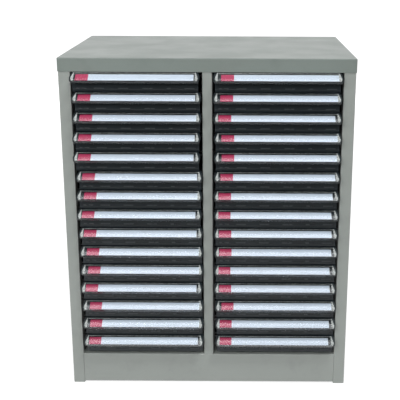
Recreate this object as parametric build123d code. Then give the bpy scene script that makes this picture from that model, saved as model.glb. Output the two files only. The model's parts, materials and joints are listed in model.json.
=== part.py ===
from build123d import *
import os
from math import cos, hypot, radians, sin

# A free-standing sheet steel cabinet with two columns of shallow plastic drawers.
# Units are millimetres. X runs to the right, Y to the back and Z up.
# The origin is on the floor, under the middle of the whole cabinet.

# Sheet steel
sheet = 1.0
bend_outside = 1.5

# Case
bay_width = 238.0
centre_stile = 18.0
side_stile = 21.8
case_depth = 360.0
stile_lip = 12.0
rear_return = 12.0
side_flange = 16.0
plinth_height = 63.0
plinth_lift = 3.0
plinth_return = 15.0
floor_flange = 15.0
cap_rim = 25.0
cap_corner = 2.5
cap_clearance = 0.2
panel_clearance = 0.3
rail_depth = 20.0
rail_gap = 1.0

# Drawers and their spacing
rows = 15
pitch = 37.0
bottom_gap = 5.0
drawer_height = 36.0
drawer_travel = 270.0
tray_length = 326.0
tray_depth = 34.0
tray_wall = 2.0
tray_corner = 3.0
front_setback = 2.0
front_wall = 2.0
front_wall_width = 228.0
bead_height = 3.5
bead_size = 1.4
bead_proud = 0.7

# Runners
runner_base = 1.5
ledge_reach = 7.5
ledge_thickness = 2.5
rib_thickness = 2.0
side_play = 2.5
slide_clearance = 0.3
flange_thickness = 2.0
flange_height = 29.0
nub_height = 1.5
nub_length = 8.0
tooth_length = 4.0
stop_length = 3.0
runner_margin = 2.0

# Sloping label pocket on the nose of each drawer
label_slope = 36.2
label_height = 15.2
label_length = 212.0
label_thickness = 0.35
label_drop = 8.0
label_ahead = 10.15
nose_width = 234.0
nose_taper = 2.5
nose_shell = 2.0
nose_lower_edge = 8.6
nose_lip = 6.0
nose_lip_slope = 54.0
cheek_thickness = 5.0
cheek_drop = 20.5
nose_standoff = 1.0
cover_width = 228.0
cover_taper = 4.0
cover_thickness = 1.8
cover_lip = 5.2
cover_lip_thickness = 1.2
cover_upper_edge = 10.2
cover_rim = 1.6
cover_rim_height = 0.6
pocket_clearance = 0.15
pocket_side_room = 4.0
tip_drop = 8.5
tip_rise = 8.0
clip_slots = 7
clip_spacing = 35.0
clip_width = 1.2
clip_length = 2.4
clip_depth = 0.8

# Posts and fixings
post_width = 30.0
post_front_inset = 45.0
post_rear_inset = 36.0
screw_end_rows = 1
screw_height = 12.0
screw_shank = 1.9
screw_length = 8.0
screw_head = 3.5
screw_head_height = 2.0
screw_hole = 2.1
bolt_shank = 2.5
bolt_hole = 2.75
bolt_length = 10.0
nut_hole = 2.55
nut_flats = 8.0
nut_height = 4.0
bolt_head_height = 3.5
stud_length = 11.0
stud_end_inset = 60.0
stud_edge_inset = 8.0
rivet_shank = 1.6
rivet_hole = 1.75
rivet_head = 3.2
rivet_head_height = 1.0
rivet_head_round = 0.8
rivet_length = 5.0
rivet_rows = 5
rivet_end_inset = 60.0
divider_tab = 24.0
divider_tab_inset = 10.0

# Sideways place of each drawer in its runners, top row first, and the shift of its label
left_drawer_shift = (-2.2, 0.4, 0.5, -1.3, -2.1, 2.2, 0.8, 0.0, 2.0, 2.2, 2.2, 0.6, 2.2, 1.8, 2.2)
right_drawer_shift = (0.0, -1.0, 0.0, 1.0, 1.0, 0.5, 0.0, 0.5, 0.0, 1.0, 0.5, 0.0, 1.5, 2.0, 2.2)
left_label_shift = (0.3, 0.3, 2.0, 0.4, -1.3, 0.5, 3.5, -1.2, -1.2, 2.5, 3.5, -1.1, 3.5, 2.8, -0.9)
right_label_shift = (3.5, 3.0, -1.5, 3.0, 3.2, 1.5, -1.5, -3.0, -1.0, -1.5, -3.0, -1.0, 2.0, -2.0, -2.5)

# Derived sizes of the case
body_width = 2 * bay_width + centre_stile + 2 * side_stile
side_x = body_width / 2
side_inner_x = side_x - sheet
bay_outer_x = side_x - side_stile
bay_inner_x = centre_stile / 2
bay_middle_x = (bay_outer_x + bay_inner_x) / 2
cap_overhang = sheet + cap_clearance
body_depth = case_depth - 2 * cap_overhang
opening_top = plinth_height + bottom_gap + rows * pitch
cabinet_height = opening_top + cap_rim
body_top = cabinet_height - sheet
rail_bottom = opening_top + rail_gap
rail_top = body_top - sheet

# Derived sizes of the drawer, measured from the steel front (y = 0) and the drawer's bottom (z = 0)
slope_along = Vector(0, cos(radians(label_slope)), sin(radians(label_slope)))
slope_out = Vector(0, -sin(radians(label_slope)), cos(radians(label_slope)))
label_middle = Vector(0, -label_ahead, drawer_height - label_drop)
lip_along = Vector(0, cos(radians(nose_lip_slope)), -sin(radians(nose_lip_slope)))
lip_out = Vector(0, -sin(radians(nose_lip_slope)), -cos(radians(nose_lip_slope)))
nose_edge = label_middle - slope_along * nose_lower_edge
tip_height = drawer_height - tip_drop
tip_foot = tip_height - tip_rise
nose_half = nose_width / 2
front_wall_half = front_wall_width / 2
front_wall_back = front_setback + front_wall
flange_half = bay_width / 2 - runner_base - side_play
body_half = bay_width / 2 - runner_base - ledge_reach - side_play - slide_clearance
tray_back = front_wall_back + tray_length
nub_front = tray_back - nub_length
tooth_back = nub_front - drawer_travel - slide_clearance
ledge_top = flange_height - slide_clearance
rib_bottom = flange_height + flange_thickness + nub_height + slide_clearance


def crossing(point_a, along_a, point_b, along_b):
    """Where two lines in the YZ plane cross."""
    gap = point_b - point_a
    across = along_a.Y * along_b.Z - along_a.Z * along_b.Y
    return point_a + along_a * ((gap.Y * along_b.Z - gap.Z * along_b.Y) / across)


cover_ridge = crossing(
    nose_edge + slope_out * cover_thickness, slope_along,
    nose_edge + lip_out * cover_lip_thickness, lip_along,
)
nose_reach = -cover_ridge.Y
front_y = (nose_reach - body_depth - cap_overhang) / 2
back_y = front_y + body_depth
inner_back_y = back_y - 2 * sheet
front_post_y = front_y + post_front_inset
runner_front_y = front_y + stile_lip + runner_margin
runner_back_y = front_y + tray_back + slide_clearance + stop_length
rear_post_y = runner_back_y - post_rear_inset


def block(x0, x1, y0, y1, z0, z1):
    """A box between two corners."""
    return Pos(x0, y0, z0) * Box(x1 - x0, y1 - y0, z1 - z0, align=(Align.MIN, Align.MIN, Align.MIN))


def polygon_yz(points, x0, x1):
    """A prism along X over an outline given as (y, z) points."""
    outline = Polyline(*[(0, y, z) for y, z in points], close=True)
    return Pos(x0, 0, 0) * extrude(make_face(outline), amount=x1 - x0, dir=(1, 0, 0))


def polygon_xz(points, y0, y1):
    """A prism along Y over an outline given as (x, z) points."""
    outline = Polyline(*[(x, 0, z) for x, z in points], close=True)
    return Pos(0, y0, 0) * extrude(make_face(outline), amount=y1 - y0, dir=(0, 1, 0))


def inset_path(points, distance):
    """An open path moved to its left by a distance, with mitred corners."""
    moved = []
    last = len(points) - 1
    for index, (u, v) in enumerate(points):
        normals = []
        for a, b in ((index - 1, index), (index, index + 1)):
            if a < 0 or b > last:
                continue
            du = points[b][0] - points[a][0]
            dv = points[b][1] - points[a][1]
            normals.append((-dv / hypot(du, dv), du / hypot(du, dv)))
        sum_u = sum(normal[0] for normal in normals)
        sum_v = sum(normal[1] for normal in normals)
        scale = distance / (sum_u * normals[0][0] + sum_v * normals[0][1])
        moved.append((u + sum_u * scale, v + sum_v * scale))
    return moved


def folded_sheet(points, plane, length):
    """A folded strip whose outer face follows the points, with its thickness on their left."""
    outer = FilletPolyline(*points, radius=bend_outside)
    inner = FilletPolyline(*inset_path(points, sheet), radius=bend_outside - sheet)
    ends = [Line(outer @ 0, inner @ 0), Line(outer @ 1, inner @ 1)]
    return extrude(plane * make_face(outer.edges() + inner.edges() + ends), amount=length)


def hole_z(x, y, z0, z1, radius):
    """A round cutter along Z."""
    return Pos(x, y, (z0 + z1) / 2) * Cylinder(radius, z1 - z0)


def hole_x(x0, x1, y, z, radius):
    """A round cutter along X."""
    return Pos((x0 + x1) / 2, y, z) * Rot(0, 90, 0) * Cylinder(radius, x1 - x0)


def hole_y(x, y0, y1, z, radius):
    """A round cutter along Y."""
    return Pos(x, (y0 + y1) / 2, z) * Rot(90, 0, 0) * Cylinder(radius, y1 - y0)


def hexagon(x, y, z0, height):
    """A hexagonal bar standing on z0."""
    return Pos(x, y, z0) * extrude(RegularPolygon(nut_flats / 2, 6, major_radius=False), amount=height)


def drawer_bottom(row):
    """Height of a drawer's underside; row 0 is the top one."""
    return plinth_height + bottom_gap + (rows - 1 - row) * pitch


def screw_places():
    """(y, z) of the screws that hold one runner panel."""
    held_rows = (screw_end_rows, rows // 2, rows - 1 - screw_end_rows)
    return [(y, drawer_bottom(row) + screw_height) for row in held_rows for y in (front_post_y, rear_post_y)]


def stud_places():
    """(x, y) of the studs that hold the cap."""
    middle_y = (front_y + back_y) / 2
    ys = (front_y + stud_end_inset, middle_y, back_y - stud_end_inset)
    return [(side * (side_x - stud_edge_inset), y) for side in (-1, 1) for y in ys]


def rivet_places():
    """(x, z) of the rivets that hold the back panel."""
    step = (cabinet_height - cap_rim - 2 * rivet_end_inset) / (rivet_rows - 1)
    zs = [rivet_end_inset + step * index for index in range(rivet_rows)]
    return [(side * (side_x - rear_return / 2 - sheet / 2), z) for side in (-1, 1) for z in zs]


def divider_bolt_places():
    """y of the bolts at the divider's foot and head."""
    return (front_y + divider_tab_inset, inner_back_y - divider_tab_inset)


# Case

def top_cap():
    """The folded lid, with weld studs under it."""
    x, y0, y1 = side_x + cap_overhang, front_y - cap_overhang, back_y + cap_overhang
    outer = block(-x, x, y0, y1, opening_top, cabinet_height)
    outer = fillet(outer.edges().filter_by(Axis.Z), cap_corner)
    outer = fillet(outer.faces().sort_by(Axis.Z)[-1].edges(), bend_outside)
    x, y0, y1 = x - sheet, y0 + sheet, y1 - sheet
    inner = block(-x, x, y0, y1, opening_top, body_top)
    inner = fillet(inner.edges().filter_by(Axis.Z), cap_corner - sheet)
    cap = outer - inner
    for x, y in stud_places():
        cap += hole_z(x, y, body_top - stud_length, body_top, bolt_shank)
    return cap


def cap_nuts():
    """Nuts that pull the cap down on the side panels."""
    top = body_top - sheet
    return [
        hexagon(x, y, top - nut_height, nut_height) - hole_z(x, y, top - nut_height, top, nut_hole)
        for x, y in stud_places()
    ]


def side_panel():
    """The right-hand side sheet with its front stile, rear return and flanges."""
    path = [
        (side_x - rear_return, back_y),
        (side_x, back_y),
        (side_x, front_y),
        (bay_outer_x, front_y),
        (bay_outer_x, front_y + stile_lip),
    ]
    panel = folded_sheet(path[::-1], Plane.XY, body_top)
    for z in (0, body_top - sheet):
        panel += block(side_x - side_flange, side_inner_x, front_y + sheet, back_y - sheet, z, z + sheet)
    for x, y in stud_places():
        panel -= hole_z(x, y, rail_top - sheet, body_top + sheet, bolt_hole)
    for x, z in rivet_places():
        panel -= hole_y(x, back_y - 2 * sheet, back_y + sheet, z, rivet_hole)
    return panel


def back_panel():
    """The flat sheet behind the rear returns."""
    x = side_x - bend_outside - panel_clearance
    panel = block(-x, x, inner_back_y, back_y - sheet, plinth_lift, rail_top - panel_clearance)
    for x, z in rivet_places():
        panel -= hole_y(x, inner_back_y - sheet, back_y, z, rivet_hole)
    return panel


def back_rivets():
    """Blind rivets through the rear returns and the back panel."""
    rivets = []
    for x, z in rivet_places():
        head = hole_y(x, back_y, back_y + rivet_head_height, z, rivet_head)
        head = fillet(head.faces().sort_by(Axis.Y)[-1].edges(), rivet_head_round)
        rivets.append(head + hole_y(x, back_y - rivet_length, back_y, z, rivet_shank))
    return rivets


def plinth_floor():
    """The bottom sheet, folded down at the front into the plinth."""
    path = [
        (front_y + plinth_return, plinth_lift),
        (front_y, plinth_lift),
        (front_y, plinth_height),
        (inner_back_y, plinth_height),
        (inner_back_y, plinth_height - floor_flange),
    ]
    half = bay_outer_x - panel_clearance
    pan = folded_sheet(path[::-1], Plane.YZ.offset(-half), 2 * half)
    wing_front = front_y + stile_lip + panel_clearance
    for side in (-1, 1):
        wing = block(half, side_inner_x, wing_front, inner_back_y, plinth_height - sheet, plinth_height)
        wing += block(
            side_inner_x - sheet, side_inner_x, wing_front, inner_back_y,
            plinth_height - floor_flange, plinth_height,
        )
        pan += wing if side > 0 else mirror(wing, Plane.YZ)
    for y in divider_bolt_places():
        pan -= hole_z(0, y, plinth_height - 2 * sheet, plinth_height + sheet, bolt_hole)
    return pan


def rail(path, half, bolt_y):
    """A channel across the top of the case, bolted to the divider."""
    channel = folded_sheet(path, Plane.YZ.offset(-half), 2 * half)
    return channel - hole_z(0, bolt_y, rail_bottom - sheet, rail_bottom + 2 * sheet, bolt_hole)


def header_rail():
    """The channel behind the front rim of the cap."""
    web, edge = front_y, front_y + rail_depth
    path = [(edge, rail_top), (web, rail_top), (web, rail_bottom), (edge, rail_bottom)]
    return rail(path, bay_outer_x, divider_bolt_places()[0])


def rear_top_rail():
    """The channel along the top of the back panel."""
    web, edge = inner_back_y, inner_back_y - rail_depth
    path = [(edge, rail_bottom), (web, rail_bottom), (web, rail_top), (edge, rail_top)]
    return rail(path, side_inner_x, divider_bolt_places()[1])


def centre_divider():
    """The folded partition between the two bays, with its front stile and bolt tabs."""
    path = [
        (-bay_inner_x, inner_back_y),
        (-bay_inner_x, front_y),
        (bay_inner_x, front_y),
        (bay_inner_x, inner_back_y),
    ]
    height = rail_bottom - plinth_height
    divider = folded_sheet(path, Plane.XY.offset(plinth_height), height)
    inner = bay_inner_x - sheet
    front_bolt_y, rear_bolt_y = divider_bolt_places()
    for z in (plinth_height, rail_bottom - sheet):
        divider += block(-inner, inner, front_y + sheet, front_y + divider_tab, z, z + sheet)
        divider += block(-inner, inner, inner_back_y - divider_tab, inner_back_y, z, z + sheet)
        divider -= hole_z(0, front_bolt_y, z - sheet, z + 2 * sheet, bolt_hole)
        divider -= hole_z(0, rear_bolt_y, z - sheet, z + 2 * sheet, bolt_hole)
    for y, z in screw_places():
        divider -= hole_x(-bay_inner_x - sheet, bay_inner_x + sheet, y, z, screw_hole)
    return divider


def divider_bolts():
    """Bolts and nuts at the divider's foot and head."""
    pieces = []
    for y in divider_bolt_places():
        foot = plinth_height - sheet
        pieces.append(bolt(y, foot, 1))
        pieces.append(nut(y, plinth_height + sheet))
        pieces.append(bolt(y, rail_bottom + sheet, -1))
        pieces.append(nut(y, rail_bottom - sheet - nut_height))
    return pieces


def bolt(y, seat, direction):
    """A hexagon bolt whose head seats at a height and whose shank runs up or down."""
    head_foot = seat - bolt_head_height if direction > 0 else seat
    shank_end = seat + direction * bolt_length
    shank = hole_z(0, y, min(seat, shank_end), max(seat, shank_end), bolt_shank)
    return hexagon(0, y, head_foot, bolt_head_height) + shank


def nut(y, foot):
    """A hexagon nut standing on a height."""
    return hexagon(0, y, foot, nut_height) - hole_z(0, y, foot, foot + nut_height, nut_hole)


def post(y_middle):
    """A right-hand upright between the side sheet and the runner panel."""
    y0, y1 = y_middle - post_width / 2, y_middle + post_width / 2
    path = [(side_inner_x, y0), (bay_outer_x, y0), (bay_outer_x, y1), (side_inner_x, y1)]
    upright = folded_sheet(path[::-1], Plane.XY.offset(plinth_height), opening_top - plinth_height)
    for y, z in screw_places():
        upright -= hole_x(bay_outer_x - sheet, bay_outer_x + 2 * sheet, y, z, screw_hole)
    return upright


# Runners

def runner_panel():
    """A moulded panel on the outer side of the right bay, with a grooved ledge for every drawer."""
    face_x = bay_outer_x - runner_base
    tip_x = face_x - ledge_reach
    z_low, z_high = plinth_height + runner_margin, opening_top - runner_margin
    panel = block(face_x, bay_outer_x, runner_front_y, runner_back_y, z_low, z_high)
    features = []
    for row in range(rows):
        z = drawer_bottom(row)
        ledge = z + ledge_top - ledge_thickness
        rib = z + rib_bottom
        stop_front = runner_back_y - stop_length
        tooth_y = front_y + tooth_back
        features.append(block(tip_x, face_x, runner_front_y, runner_back_y, ledge, ledge + ledge_thickness))
        features.append(block(tip_x, face_x, runner_front_y, runner_back_y, rib, rib + rib_thickness))
        features.append(block(tip_x, face_x, stop_front, runner_back_y, ledge, rib))
        features.append(block(tip_x, face_x, tooth_y - tooth_length, tooth_y, rib - nub_height, rib))
    panel += features
    for y, z in screw_places():
        panel -= hole_x(face_x - sheet, bay_outer_x + sheet, y, z, screw_hole)
    return panel


def runner_screws():
    """Pan-head screws through the four runner panels."""
    screws = []
    for y, z in screw_places():
        seat = bay_outer_x - runner_base
        head = hole_x(seat - screw_head_height, seat, y, z, screw_head)
        head = fillet(head.faces().sort_by(Axis.X)[0].edges(), screw_head_height / 2)
        outer = head + hole_x(seat, seat + screw_length, y, z, screw_shank)
        inner = Pos(2 * bay_middle_x, 0, 0) * mirror(outer, Plane.YZ)
        for screw in (outer, inner):
            screws.append(screw)
            screws.append(mirror(screw, Plane.YZ))
    return screws


# Drawer, built about the middle of its bay with its underside at z = 0 and the steel front at y = 0

def tray():
    """The open tray that holds the sheets, with side flanges that ride on the ledges."""
    outer = block(-body_half, body_half, front_wall_back, tray_back, 0, tray_depth)
    outer = fillet(outer.edges().filter_by(Axis.Z).group_by(Axis.Y)[-1], tray_corner)
    inner = block(
        -body_half + tray_wall, body_half - tray_wall,
        front_wall_back + tray_wall, tray_back - tray_wall, tray_wall, tray_depth,
    )
    inner = fillet(inner.edges().filter_by(Axis.Z).group_by(Axis.Y)[-1], tray_corner - tray_wall)
    shell = outer - inner
    flange_top = flange_height + flange_thickness
    flange_end = tray_back - tray_corner
    flange = block(body_half - tray_wall, flange_half, front_wall_back, flange_end, flange_height, flange_top)
    flange += block(body_half, flange_half, flange_end, tray_back, flange_height, flange_top)
    flange += block(body_half - tray_wall, body_half, flange_end, tray_back, flange_height, flange_top)
    flange += block(body_half + side_play, flange_half, nub_front, tray_back, flange_top, flange_top + nub_height)
    return shell + flange + mirror(flange, Plane.YZ)


def nose_outline(half, taper):
    """The pointed outline of the nose or its cover, seen from the front, as a long prism."""
    right = [(half - taper, 0), (half - taper, tip_foot), (half, tip_height), (half - taper, drawer_height)]
    left = [(-x, z) for x, z in right[::-1]]
    return polygon_xz(right + left, -nose_reach - nose_shell, front_wall_back)


def yz(point):
    """The (y, z) of a vector."""
    return (point.Y, point.Z)


def drawer_front():
    """The front wall, and the hollow nose that carries the label and serves as a pull."""
    slope_top = crossing(label_middle, slope_along, Vector(0, 0, drawer_height), Vector(0, 1, 0))
    lip_end = nose_edge + lip_along * nose_lip
    skin = [(front_setback, drawer_height), yz(slope_top), yz(nose_edge), yz(lip_end)]
    shell = polygon_yz(skin + inset_path(skin, nose_shell)[::-1], -nose_half, nose_half)
    cheek = skin + [(front_setback, drawer_height - cheek_drop)]
    shell += polygon_yz(cheek, nose_half - cheek_thickness, nose_half)
    shell += polygon_yz(cheek, -nose_half, -nose_half + cheek_thickness)
    shell = shell & nose_outline(nose_half, nose_taper)
    for side in (-1, 1):
        edge = side * front_wall_half
        low, high = min(edge, side * nose_half), max(edge, side * nose_half)
        shell -= block(low, high, -nose_standoff, front_setback, -drawer_height, 2 * drawer_height)
    wall = block(-front_wall_half, front_wall_half, front_setback, front_wall_back, 0, drawer_height)
    wall += block(
        -front_wall_half, front_wall_half, front_setback - bead_proud, front_setback,
        bead_height, bead_height + bead_size,
    )
    front = shell + wall
    slope = Plane(label_middle, x_dir=(1, 0, 0), z_dir=slope_out)
    first = -clip_spacing * (clip_slots - 1) / 2
    for index in range(clip_slots):
        place = slope * Pos(first + index * clip_spacing, cover_upper_edge + clip_length / 2, 0)
        front -= place * Box(clip_width, clip_length, 2 * clip_depth)
    return front


def label_cover():
    """The clear cover, a sloping window with a lip under the nose and a pocket for the label."""
    upper = label_middle + slope_along * cover_upper_edge
    lip_end = nose_edge + lip_along * cover_lip
    cover_points = [
        upper, upper + slope_out * cover_thickness, cover_ridge,
        lip_end + lip_out * cover_lip_thickness, lip_end, nose_edge,
    ]
    half = cover_width / 2
    cover = polygon_yz([yz(point) for point in cover_points], -half, half)
    slope = Plane(label_middle, x_dir=(1, 0, 0), z_dir=slope_out)
    rim_depth = cover_upper_edge + nose_lower_edge
    rim_place = slope * Pos(0, (cover_upper_edge - nose_lower_edge) / 2, 0)
    rim_low = cover_thickness / 2
    rim_high = cover_thickness + cover_rim_height
    rim = rim_place * Pos(0, 0, rim_low) * Box(
        cover_width, rim_depth, rim_high - rim_low, align=(Align.CENTER, Align.CENTER, Align.MIN),
    )
    rim -= nose_outline(half - cover_rim, cover_taper)
    cover = (cover + rim) & nose_outline(half, cover_taper)
    pocket = Box(
        label_length + 2 * pocket_side_room, label_height + 2 * pocket_clearance,
        2 * (label_thickness + pocket_clearance),
    )
    return cover - slope * pocket


def label_card(shift):
    """The paper label behind the cover."""
    slope = Plane(label_middle, x_dir=(1, 0, 0), z_dir=slope_out)
    card = Box(label_length, label_height, label_thickness, align=(Align.CENTER, Align.CENTER, Align.MIN))
    return slope * Pos(shift, 0, 0) * card


# Writing the parts

os.makedirs("parts", exist_ok=True)


def write(name, solids):
    """Save one named sub-part as a STEP file."""
    pieces = solids if isinstance(solids, list) else [solids]
    shape = Compound(children=[solid for piece in pieces for solid in piece.solids()])
    shape.label = name
    export_step(shape, f"parts/{name}.step")


def both_sides(name, solid):
    """Save a right-hand sub-part and its mirror image."""
    write(f"right_{name}", solid)
    write(f"left_{name}", mirror(solid, Plane.YZ))


write("top_cap", top_cap())
write("cap_nuts", cap_nuts())
both_sides("side_panel", side_panel())
write("back_panel", back_panel())
write("back_rivets", back_rivets())
write("plinth_floor", plinth_floor())
write("header_rail", header_rail())
write("rear_top_rail", rear_top_rail())
write("centre_divider", centre_divider())
write("divider_bolts", divider_bolts())
both_sides("front_post", post(front_post_y))
both_sides("rear_post", post(rear_post_y))
outer_runner = runner_panel()
both_sides("outer_runner", outer_runner)
both_sides("inner_runner", Pos(2 * bay_middle_x, 0, 0) * mirror(outer_runner, Plane.YZ))
write("runner_screws", runner_screws())

tray_solid = tray()
front_solid = drawer_front()
cover_solid = label_cover()
columns = (
    ("left", -bay_middle_x, left_drawer_shift, left_label_shift),
    ("right", bay_middle_x, right_drawer_shift, right_label_shift),
)
for side, middle, drawer_shifts, label_shifts in columns:
    for row in range(rows):
        drawer_shift = drawer_shifts[row % len(drawer_shifts)]
        label_shift = label_shifts[row % len(label_shifts)]
        place = Pos(middle + drawer_shift, front_y, drawer_bottom(row))
        solids = [tray_solid, front_solid, cover_solid, label_card(label_shift)]
        write(f"drawer_{side}_{row + 1:02d}", [place * solid for solid in solids])
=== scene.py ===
"""Looks of the document cabinet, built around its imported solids."""

import json
from math import pi, radians

import bmesh
import bpy
from mathutils import Matrix, Vector


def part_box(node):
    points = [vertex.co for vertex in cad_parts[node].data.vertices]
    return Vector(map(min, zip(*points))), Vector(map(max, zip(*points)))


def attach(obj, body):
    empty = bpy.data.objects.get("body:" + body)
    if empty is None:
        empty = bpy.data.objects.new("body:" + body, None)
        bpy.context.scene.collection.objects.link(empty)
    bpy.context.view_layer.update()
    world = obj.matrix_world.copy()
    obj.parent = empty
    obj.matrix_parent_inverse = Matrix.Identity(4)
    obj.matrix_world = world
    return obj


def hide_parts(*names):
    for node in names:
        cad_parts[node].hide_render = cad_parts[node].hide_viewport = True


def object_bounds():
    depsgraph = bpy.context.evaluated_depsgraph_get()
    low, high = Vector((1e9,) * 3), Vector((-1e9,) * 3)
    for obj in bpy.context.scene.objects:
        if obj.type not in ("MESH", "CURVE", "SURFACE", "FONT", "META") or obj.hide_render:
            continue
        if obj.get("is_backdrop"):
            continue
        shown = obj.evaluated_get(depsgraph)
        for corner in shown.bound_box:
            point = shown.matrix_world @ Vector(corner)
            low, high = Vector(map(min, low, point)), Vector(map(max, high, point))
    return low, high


MM = 0.001

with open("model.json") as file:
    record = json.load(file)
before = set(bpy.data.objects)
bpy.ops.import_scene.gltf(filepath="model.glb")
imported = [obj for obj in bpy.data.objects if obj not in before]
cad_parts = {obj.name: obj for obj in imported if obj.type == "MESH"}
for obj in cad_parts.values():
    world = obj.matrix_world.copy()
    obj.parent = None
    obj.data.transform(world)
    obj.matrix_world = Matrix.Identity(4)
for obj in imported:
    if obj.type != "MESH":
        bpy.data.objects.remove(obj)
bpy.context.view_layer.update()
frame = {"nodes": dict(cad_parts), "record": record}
nodes = frame["nodes"]
drawer_names = sorted(name for name in nodes if name.startswith("drawer_"))


# Materials

# How far and how strongly convex edges are lightened: partly wear, partly a painted highlight along the
# folds
EDGE_WEAR_AND_HIGHLIGHT_RADIUS = 1.2 * MM
EDGE_WEAR_AND_HIGHLIGHT_SHARE = 0.7
GRIME_SHARE = 0.25
CLEAR_TINT = (0.95, 0.97, 1.0)
# Whitish colour and cover of the clear plastic's ends and rim: painted light standing in for the light
# they gather
EDGE_GLOW_COLOUR = (0.60, 0.64, 0.63)
EDGE_GLOW_LEAST, EDGE_GLOW_MOST = 0.38, 0.93


def new_material(name):
    """A material, its node tree and its shader."""
    made = bpy.data.materials.new(name)
    made.use_nodes = True
    return made, made.node_tree, made.node_tree.nodes["Principled BSDF"]


def add(tree, kind, inputs=None, **settings):
    """A new node with its settings and input values; an input may be another node's output."""
    made = tree.nodes.new(kind)
    for key, value in settings.items():
        setattr(made, key, value)
    for key, value in (inputs or {}).items():
        if isinstance(value, bpy.types.NodeSocket):
            tree.links.new(value, made.inputs[key])
        else:
            made.inputs[key].default_value = value
    return made


def noise(tree, scale, detail, roughness=0.5, stretch=None):
    """Noise over the object's own coordinates, in features per metre."""
    place = add(tree, "ShaderNodeTexCoord").outputs["Object"]
    if stretch:
        place = add(tree, "ShaderNodeMapping", {"Vector": place, "Scale": stretch}).outputs["Vector"]
    inputs = {"Vector": place, "Scale": scale, "Detail": detail, "Roughness": roughness}
    return add(tree, "ShaderNodeTexNoise", inputs).outputs["Fac"]


def spread(tree, value, low, high, start=0.35, end=0.65):
    """The value's stretch from start to end, moved to run from low to high."""
    inputs = {"Value": value, "From Min": start, "From Max": end, "To Min": low, "To Max": high}
    return add(tree, "ShaderNodeMapRange", inputs).outputs["Result"]


def shade(colour, factor=1.0):
    """The colour made lighter or darker, with an alpha of 1."""
    return [min(1.0, channel * factor) for channel in colour] + [1.0]


def blended(tree, share, first, second):
    """Two colours mixed by a share from 0 to 1."""
    mix = add(tree, "ShaderNodeMix", data_type="RGBA")
    for socket, value in (("Factor_Float", share), ("A_Color", first), ("B_Color", second)):
        target = next(s for s in mix.inputs if s.identifier == socket)
        if isinstance(value, bpy.types.NodeSocket):
            tree.links.new(value, target)
        else:
            target.default_value = value
    return next(s for s in mix.outputs if s.identifier == "Result_Color")


def edge_share(tree, radius):
    """How near a point is to a convex edge, from 0 to 1."""
    rounded = add(tree, "ShaderNodeBevel", {"Radius": radius}, samples=4).outputs["Normal"]
    plain = add(tree, "ShaderNodeNewGeometry").outputs["Normal"]
    dot = add(tree, "ShaderNodeVectorMath", {0: rounded, 1: plain}, operation="DOT_PRODUCT")
    return spread(tree, dot.outputs["Value"], 1.0, 0.0, start=0.75, end=0.98)


def bumps(tree, shader, height, distance):
    """Relief on the shader's normal."""
    relief = add(tree, "ShaderNodeBump", {"Height": height, "Distance": distance, "Strength": 1.0})
    tree.links.new(relief.outputs["Normal"], shader.inputs["Normal"])


def painted_steel(name, colour):
    """Semi-gloss enamel with a faint orange peel, handling marks, and convex edges lightened partly for
    wear and partly as a painted highlight along the folds.
    """
    made, tree, shader = new_material(name)
    clouds = spread(tree, noise(tree, scale=4.5, detail=4.0), 0.0, 1.0)
    fresh = blended(tree, clouds, shade(colour, 0.97), shade(colour, 1.03))
    spots = noise(tree, scale=26.0, detail=6.0, roughness=0.65)
    marks = spread(tree, spots, 0.0, GRIME_SHARE, start=0.52, end=0.75)
    soiled = blended(tree, marks, fresh, shade(colour, 0.62))
    # Convex edges turn lighter: partly wear, partly a painted highlight for the light that the folds
    # catch.
    near_edge = {0: edge_share(tree, EDGE_WEAR_AND_HIGHLIGHT_RADIUS), 1: EDGE_WEAR_AND_HIGHLIGHT_SHARE}
    wear_and_highlight = add(tree, "ShaderNodeMath", near_edge, operation="MULTIPLY").outputs["Value"]
    tree.links.new(blended(tree, wear_and_highlight, soiled, shade(colour, 1.4)), shader.inputs["Base Color"])
    gloss = spread(tree, noise(tree, scale=15.0, detail=4.0), 0.30, 0.38)
    tree.links.new(gloss, shader.inputs["Roughness"])
    bumps(tree, shader, noise(tree, scale=1100.0, detail=1.0), 0.012 * MM)
    return made


def moulded_plastic(name, colour, dust, streaks):
    """Black moulding with a fine spark texture, flow streaks and a film of dust."""
    made, tree, shader = new_material(name)
    flow = noise(tree, scale=1.0, detail=3.0, roughness=0.6, stretch=streaks)
    film = spread(tree, noise(tree, scale=9.0, detail=5.0, roughness=0.6), 0.0, 0.55)
    clean = blended(tree, spread(tree, flow, 0.0, 1.0), shade(colour, 0.8), shade(colour))
    tree.links.new(blended(tree, film, clean, shade(dust)), shader.inputs["Base Color"])
    tree.links.new(spread(tree, flow, 0.26, 0.38), shader.inputs["Roughness"])
    bumps(tree, shader, noise(tree, scale=2600.0, detail=2.0), 0.006 * MM)
    return made


def clear_plastic(name, share, roughness):
    """Clear moulding that sends back a share of the light, and more at a flat angle."""
    made, tree, shader = new_material(name)
    shader.inputs["Base Color"].default_value = shade(CLEAR_TINT)
    shader.inputs["Metallic"].default_value = 1.0
    slant = add(tree, "ShaderNodeLayerWeight", {"Blend": 0.5}).outputs["Facing"]
    rise = add(tree, "ShaderNodeMath", {0: slant, 1: 5.0}, operation="POWER").outputs["Value"]
    tree.links.new(spread(tree, rise, share, 1.0, start=0.0, end=1.0), shader.inputs["Alpha"])
    scuffs = noise(tree, scale=300.0, detail=4.0, roughness=0.7, stretch=(0.15, 1.0, 1.0))
    tree.links.new(spread(tree, scuffs, roughness * 0.94, roughness * 1.08), shader.inputs["Roughness"])
    return made


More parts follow.
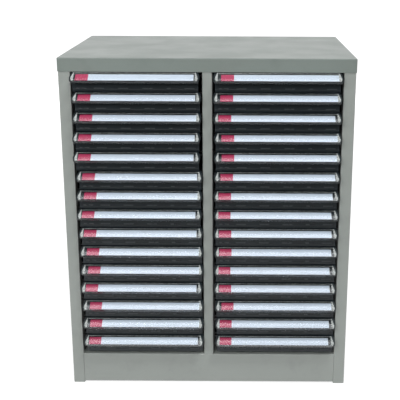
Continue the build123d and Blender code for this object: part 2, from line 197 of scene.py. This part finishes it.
def edge_glow_paint(name):
    """The ends and the upper rim of a clear moulding, painted whitish to stand in for the light that
    they gather.
    """
    made, tree, shader = new_material(name)
    shader.inputs["Base Color"].default_value = shade(EDGE_GLOW_COLOUR)
    shader.inputs["Roughness"].default_value = 0.18
    mottle = noise(tree, scale=420.0, detail=3.0)
    density = spread(tree, mottle, EDGE_GLOW_LEAST, EDGE_GLOW_MOST, start=0.4, end=0.6)
    tree.links.new(density, shader.inputs["Alpha"])
    bumps(tree, shader, noise(tree, scale=500.0, detail=2.0), 0.02 * MM)
    return made


def paper(name, colour):
    """Uncoated paper, with faint fibres."""
    made, tree, shader = new_material(name)
    fibres = noise(tree, scale=1500.0, detail=4.0, roughness=0.7, stretch=(0.3, 1.0, 1.0))
    base = blended(tree, spread(tree, fibres, 0.0, 1.0), shade(colour, 0.97), shade(colour, 1.02))
    tree.links.new(base, shader.inputs["Base Color"])
    tree.links.new(spread(tree, fibres, 0.55, 0.7), shader.inputs["Roughness"])
    bumps(tree, shader, fibres, 0.01 * MM)
    return made


def zinc(name):
    """Bright zinc plating with a little tarnish."""
    made, tree, shader = new_material(name)
    tarnish = spread(tree, noise(tree, scale=260.0, detail=4.0), 0.0, 1.0)
    base = blended(tree, tarnish, shade((0.66, 0.67, 0.70)), shade((0.50, 0.50, 0.48)))
    tree.links.new(base, shader.inputs["Base Color"])
    shader.inputs["Metallic"].default_value = 1.0
    gloss = spread(tree, noise(tree, scale=800.0, detail=2.0), 0.26, 0.42)
    tree.links.new(gloss, shader.inputs["Roughness"])
    bumps(tree, shader, noise(tree, scale=1500.0, detail=2.0), 0.01 * MM)
    return made


paint = painted_steel("grey_green_enamel", (0.315, 0.340, 0.321))
# A darker copy of the same enamel for the top cap: painted shade that darkens its lid and front rim.
shaded_cap_paint = painted_steel("cap_enamel_painted_shade", (0.204, 0.237, 0.219))
black = moulded_plastic(
    "black_moulding", (0.007, 0.012, 0.015), dust=(0.017, 0.026, 0.031), streaks=(4.0, 60.0, 60.0),
)
# A lighter black for the wall's ribs: a painted highlight standing in for the light they catch.
rib_highlight_black = moulded_plastic(
    "rib_painted_highlight", (0.045, 0.052, 0.058), dust=(0.065, 0.072, 0.078), streaks=(60.0, 60.0, 60.0),
)
runner_black = moulded_plastic(
    "runner_moulding", (0.014, 0.015, 0.016), dust=(0.03, 0.03, 0.03), streaks=(60.0, 4.0, 60.0),
)
window = clear_plastic("clear_window", share=0.12, roughness=0.26)
inner_window = clear_plastic("clear_inside", share=0.01, roughness=0.15)
# The clear plastic's ends and rim, with the light they gather painted in as a whitish colour.
border = edge_glow_paint("clear_edge")
white = paper("label_paper", (0.62, 0.715, 0.82))
block = paper("label_block", (0.48, 0.036, 0.115))
plating = zinc("zinc_plating")

case_looks = {"painted_steel": paint, "runner_plastic": runner_black, "zinc_fixings": plating}
slots = {row["node"]: row["material_slot"] for row in frame["record"]["subparts"]}
for name, thing in nodes.items():
    if slots[name] in case_looks:
        thing.data.materials.clear()
        # The top cap takes the darker copy of the enamel, which paints shade on it.
        thing.data.materials.append(shaded_cap_paint if name == "top_cap" else case_looks[slots[name]])


# Drawers

# Tolerances; FACING is a cosine
WELD = 0.001 * MM
CUT_NEAR = 0.002 * MM
LEVEL_NEAR = 0.02 * MM
COPLANAR = radians(0.6)
FACING = 0.98

# Bevels of the pieces' edges that are sharper than SHARP
FRONT_ROUNDING = 0.45 * MM
TRAY_ROUNDING = 0.35 * MM
COVER_ROUNDING = 0.18 * MM
LABEL_ROUNDING = 0.04 * MM
SHARP = radians(24)

# The clear cover, its whitish borders that paint in the light the clear plastic gathers, and its looks
# in order
CROWN = 0.8 * MM
CROWN_STEPS = 14
END_BORDER = 5.5 * MM
RIM_BORDER = 1.0 * MM
WINDOW_DEPTH = 0.3 * MM
WINDOW, BORDER, INSIDE = 0, 1, 2

# The printed block, and the ribs on a front's wall, whose lighter look is a painted highlight
PLAIN, PRINT_OR_HIGHLIGHT = 0, 1
BLOCK_LENGTH = 23.2 * MM
RIB_PLACES = (-98.0 * MM, -66.0 * MM, -22.0 * MM, 22.0 * MM, 66.0 * MM, 98.0 * MM)
RIB_SIZE = (18.0 * MM, 1.6 * MM, 1.8 * MM)
RIB_HEIGHT = 6.2 * MM
RIB_BEFORE_WALL = 0.15 * MM


def connected_faces(whole):
    """The faces of each separate solid, in the mesh's own order."""
    groups = []
    waiting = set(whole.faces)
    while waiting:
        group, frontier = set(), [waiting.pop()]
        while frontier:
            face = frontier.pop()
            group.add(face)
            for side in face.edges:
                for other in side.link_faces:
                    if other in waiting:
                        waiting.discard(other)
                        frontier.append(other)
        groups.append(sorted(group, key=lambda f: f.index))
    return groups


def solid_from(faces):
    """A bmesh of these faces, in which each flat stretch is one face."""
    solid = bmesh.new()
    made = {}
    for face in faces:
        for vert in face.verts:
            if vert not in made:
                made[vert] = solid.verts.new(vert.co)
        solid.faces.new([made[vert] for vert in face.verts])
    bmesh.ops.dissolve_limit(
        solid, angle_limit=COPLANAR, verts=solid.verts, edges=solid.edges, delimit=set(),
    )
    bmesh.ops.recalc_face_normals(solid, faces=solid.faces)
    return solid


def width_of(solid):
    """How far a bmesh reaches from left to right."""
    return max(v.co.x for v in solid.verts) - min(v.co.x for v in solid.verts)


def solids_of(source, origin):
    """The separate solids of a node as bmeshes about an origin, widest first."""
    whole = bmesh.new()
    whole.from_mesh(source.data)
    bmesh.ops.remove_doubles(whole, verts=whole.verts, dist=WELD)
    bmesh.ops.translate(whole, verts=whole.verts, vec=-origin)
    solids = [solid_from(faces) for faces in connected_faces(whole)]
    whole.free()
    return sorted(solids, key=width_of, reverse=True)


def largest_face(solid, direction, least=FACING):
    """The largest face that looks in a direction, by the least cosine of the angle between."""
    facing = (f for f in solid.faces if f.normal.dot(direction) > least)
    return max(facing, key=lambda f: f.calc_area())


def cut(solid, spot, across):
    """New edges all round a bmesh, where a plane crosses it."""
    everything = solid.verts[:] + solid.edges[:] + solid.faces[:]
    bmesh.ops.bisect_plane(solid, geom=everything, plane_co=spot, plane_no=across, dist=CUT_NEAR)


def finished(name, solid, rounding, segments=2):
    """A mesh of the bmesh with rounded edges, even flat faces and its own materials kept."""
    rough = bpy.data.meshes.new(name)
    solid.to_mesh(rough)
    solid.free()
    rough.polygons.foreach_set("use_smooth", [True] * len(rough.polygons))
    holder = bpy.data.objects.new(name, rough)
    bpy.context.scene.collection.objects.link(holder)
    bevel = holder.modifiers.new("rounding", "BEVEL")
    bevel.width = rounding
    bevel.segments = segments
    bevel.limit_method = "ANGLE"
    bevel.angle_limit = SHARP
    bevel.material = -1
    even = holder.modifiers.new("even", "WEIGHTED_NORMAL")
    even.keep_sharp = True
    graph = bpy.context.evaluated_depsgraph_get()
    made = bpy.data.meshes.new_from_object(holder.evaluated_get(graph), depsgraph=graph)
    bpy.data.objects.remove(holder)
    made.name = name
    return made


def crowned(cover, card):
    """The cover with its window arched over the card, and marked as window, border and inside."""
    card_face = largest_face(card, Vector((0, 0, 1)), least=0.5)
    middle, out = card_face.calc_center_median(), card_face.normal.copy()
    along = Vector((1, 0, 0)).cross(out)
    along = -along if along.z < 0 else along

    window_face = largest_face(cover, out)
    top = (window_face.calc_center_median() - middle).dot(out)
    reach = [(v.co - middle).dot(along) for v in window_face.verts]
    low, high = min(reach), max(reach)
    end = max(v.co.x for v in cover.verts) - END_BORDER
    for step in range(1, CROWN_STEPS):
        cut(cover, middle + along * (low + (high - low) * step / CROWN_STEPS), along)
    cut(cover, middle + along * (high - RIM_BORDER), along)
    for side in (-1, 1):
        cut(cover, Vector((side * end, 0, 0)), Vector((side, 0, 0)))

    for face in cover.faces:
        centre = face.calc_center_median()
        offset = centre - middle
        inside = face.normal.dot(out) < -FACING or offset.dot(out) < top - WINDOW_DEPTH
        at_border = abs(centre.x) > end or offset.dot(along) > high - RIM_BORDER
        face.material_index = INSIDE if inside else BORDER if at_border else WINDOW
    half = (high - low) / 2
    for vert in cover.verts:
        offset = vert.co - middle
        if abs(offset.dot(out) - top) < LEVEL_NEAR:
            share = (offset.dot(along) - (low + high) / 2) / half
            vert.co += out * CROWN * max(0.0, 1 - share * share)
    return cover


def printed(card):
    """The card with its coloured block marked at the left end."""
    block_end = min(v.co.x for v in card.verts) + BLOCK_LENGTH
    cut(card, Vector((block_end, 0, 0)), Vector((1, 0, 0)))
    for face in card.faces:
        face.material_index = PRINT_OR_HIGHLIGHT if face.calc_center_median().x < block_end else PLAIN
    return card


def ribbed(front):
    """The front moulding with short ribs across its wall, given the lighter look that paints a
    highlight on them.
    """
    wall_y = largest_face(front, Vector((0, -1, 0))).calc_center_median().y
    for x in RIB_PLACES:
        spot = Matrix.Translation((x, wall_y - RIB_BEFORE_WALL, RIB_HEIGHT))
        rib = bmesh.ops.create_cube(front, size=1.0, matrix=spot @ Matrix.Diagonal((*RIB_SIZE, 1.0)))
        for face in {face for vert in rib["verts"] for face in vert.link_faces}:
            face.material_index = PRINT_OR_HIGHLIGHT
    return front


def place(name, mesh, origin, body, slot, looks):
    """A piece at an origin, riding on a body."""
    piece = bpy.data.objects.new(name, mesh)
    bpy.context.scene.collection.objects.link(piece)
    piece.location = origin
    if not mesh.materials:
        for look in looks:
            mesh.materials.append(look)
    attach(piece, body)
    return piece


front_looks = [black, rib_highlight_black]
cover_looks = [window, border, inner_window]
label_looks = [white, block]
shared = {}
for name in drawer_names:
    low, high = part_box(name)
    origin = Vector(((low.x + high.x) / 2, low.y, low.z))
    front, tray, cover, card = solids_of(nodes[name], origin)
    if not shared:
        shared["front"] = finished("drawer_front", ribbed(front), FRONT_ROUNDING, 3)
        shared["tray"] = finished("drawer_tray", tray, TRAY_ROUNDING)
        shared["cover"] = finished("label_cover", crowned(cover, card), COVER_ROUNDING)
    else:
        for spare in (front, tray, cover):
            spare.free()
    tail = name[len("drawer_"):]
    label = finished("label_" + tail, printed(card), LABEL_ROUNDING, 1)
    moulding = place("front_" + tail, shared["front"], origin, name, "drawer_plastic", front_looks)
    place("tray_" + tail, shared["tray"], origin, name, "drawer_plastic", [black])
    place("cover_" + tail, shared["cover"], origin, name, "clear_cover", cover_looks)
    place("label_" + tail, label, origin, name, "label_paper", label_looks)
    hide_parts(name)


# Studio

FRONT_MIDDLE = (0.0, -0.17, 0.35)
CASE_MIDDLE = (0.0, 0.0, 0.35)
SKY_LIGHT = 0.30

# The floor's glow up to GLOW_START from its middle, and from GLOW_END on
GLOW_NEAR, GLOW_FAR = 0.74, 0.95
GLOW_START, GLOW_END = 2.2, 4.0

# The photograph's camera; AXIS_PIXEL is where its lens axis meets the picture, from the upper left
PHOTO_SIDE = 400
FOCAL_PIXELS = 819.73
AXIS_PIXEL = (240, 164)
CAMERA_SPOT = (0.06143, -1.63568, 0.84805)
CAMERA_YAW, CAMERA_PITCH, CAMERA_ROLL = -0.0010, -0.2638, 0.0046
SENSOR_WIDTH = 36.0


def white_where_seen(tree):
    """One for the camera, gloss and clear pieces, and none for all other light."""
    path = add(tree, "ShaderNodeLightPath")
    seen = path.outputs["Is Camera Ray"]
    for other in ("Is Glossy Ray", "Is Transmission Ray"):
        both = {0: seen, 1: path.outputs[other]}
        seen = add(tree, "ShaderNodeMath", both, operation="MAXIMUM").outputs["Value"]
    return seen


def studio_sky(name):
    """A world that is plain white to look at and gives a low even light."""
    made = bpy.data.worlds.new(name)
    made.use_nodes = True
    tree = made.node_tree
    sky = tree.nodes["Background"]
    sky.inputs["Color"].default_value = (1.0, 1.0, 1.0, 1.0)
    strength = spread(tree, white_where_seen(tree), SKY_LIGHT, 1.0, start=0.0, end=1.0)
    tree.links.new(strength, sky.inputs["Strength"])
    return made


def pale_floor(name):
    """A grey ground with a glow to look at, which is weaker near the object, so its shadow stays."""
    made, tree, shader = new_material(name)
    shader.inputs["Base Color"].default_value = (0.42, 0.42, 0.42, 1.0)
    shader.inputs["Roughness"].default_value = 0.9
    shader.inputs["Emission Color"].default_value = (1.0, 1.0, 1.0, 1.0)
    ground = add(tree, "ShaderNodeTexCoord").outputs["Object"]
    away = add(tree, "ShaderNodeVectorMath", {0: ground}, operation="LENGTH").outputs["Value"]
    glow = spread(tree, away, GLOW_NEAR, GLOW_FAR, start=GLOW_START, end=GLOW_END)
    shown = add(tree, "ShaderNodeMath", {0: white_where_seen(tree), 1: glow}, operation="MULTIPLY")
    tree.links.new(shown.outputs["Value"], shader.inputs["Emission Strength"])
    return made


def dark_cloth(name):
    """Dull black cloth for the screens."""
    made, _, shader = new_material(name)
    shader.inputs["Base Color"].default_value = (0.03, 0.033, 0.036, 1.0)
    shader.inputs["Roughness"].default_value = 0.95
    return made


def gloss_screen(name, spot, tilt, size, look):
    """A flat screen that only gloss and clear pieces see."""
    bpy.ops.mesh.primitive_plane_add(size=1.0, location=spot, rotation=(tilt, 0.0, 0.0))
    screen = bpy.context.object
    screen.name = name
    screen.scale = (*size, 1.0)
    screen.visible_camera = screen.visible_diffuse = screen.visible_shadow = False
    screen.data.materials.append(look)
    screen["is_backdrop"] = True


def soft_lamp(name, spot, aim, size, power):
    """A soft rectangular lamp that points at a spot."""
    lamp = bpy.data.lights.new(name, "AREA")
    lamp.shape = "RECTANGLE"
    lamp.size, lamp.size_y = size
    lamp.energy = power
    holder = bpy.data.objects.new(name, lamp)
    bpy.context.scene.collection.objects.link(holder)
    holder.location = spot
    holder.rotation_euler = (Vector(aim) - Vector(spot)).to_track_quat("-Z", "Y").to_euler()
    holder.visible_camera = False
    return holder


bpy.context.scene.world = studio_sky("studio")

bpy.ops.mesh.primitive_plane_add(size=40.0)
floor = bpy.context.object
floor.name = "floor"
floor.data.materials.append(pale_floor("pale_floor"))
floor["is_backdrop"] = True

cloth = dark_cloth("dark_cloth")
gloss_screen("dark_curtain", (0.0, -2.6, 0.6), pi / 2, (7.0, 1.2), cloth)
gloss_screen("dark_mat", (0.0, -1.8, 0.003), 0.0, (7.0, 1.6), cloth)
gloss_screen("dark_ceiling", (0.0, 0.0, 3.2), 0.0, (6.0, 5.0), cloth)

key = soft_lamp("ceiling_key", (1.35, -1.65, 4.5), FRONT_MIDDLE, size=(0.8, 0.4), power=88.0)
tube = soft_lamp("gloss_tube", (0.1, -0.78, 2.75), (0.0, -0.16, 0.3), size=(3.2, 0.70), power=17.0)
soft_lamp("front_softbox", (-0.9, -3.05, 2.25), FRONT_MIDDLE, size=(3.0, 1.6), power=78.0)
rear_fill = soft_lamp("rear_fill", (-0.5, 3.2, 1.1), CASE_MIDDLE, size=(2.4, 1.4), power=40.0)
left_fill = soft_lamp("left_fill", (-3.2, -0.6, 1.2), CASE_MIDDLE, size=(2.4, 1.4), power=18.0)
tube.visible_diffuse = False
for lamp in (key, rear_fill, left_fill):
    lamp.visible_glossy = False

camera_data = bpy.data.cameras.new("camera")
camera_data.sensor_width = SENSOR_WIDTH
camera_data.lens = FOCAL_PIXELS / PHOTO_SIDE * SENSOR_WIDTH
camera_data.shift_x = (PHOTO_SIDE / 2 - AXIS_PIXEL[0]) / PHOTO_SIDE
camera_data.shift_y = (AXIS_PIXEL[1] - PHOTO_SIDE / 2) / PHOTO_SIDE
camera_data.clip_end = 100.0
camera = bpy.data.objects.new("camera", camera_data)
bpy.context.scene.collection.objects.link(camera)
bpy.context.scene.camera = camera
turn = Matrix.Rotation(-CAMERA_YAW, 4, "Z") @ Matrix.Rotation(pi / 2 + CAMERA_PITCH, 4, "X")
turn = turn @ Matrix.Rotation(CAMERA_ROLL, 4, "Z")
camera.matrix_world = Matrix.Translation(CAMERA_SPOT) @ turn

bpy.context.scene.view_settings.view_transform = "Standard"

low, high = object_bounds()
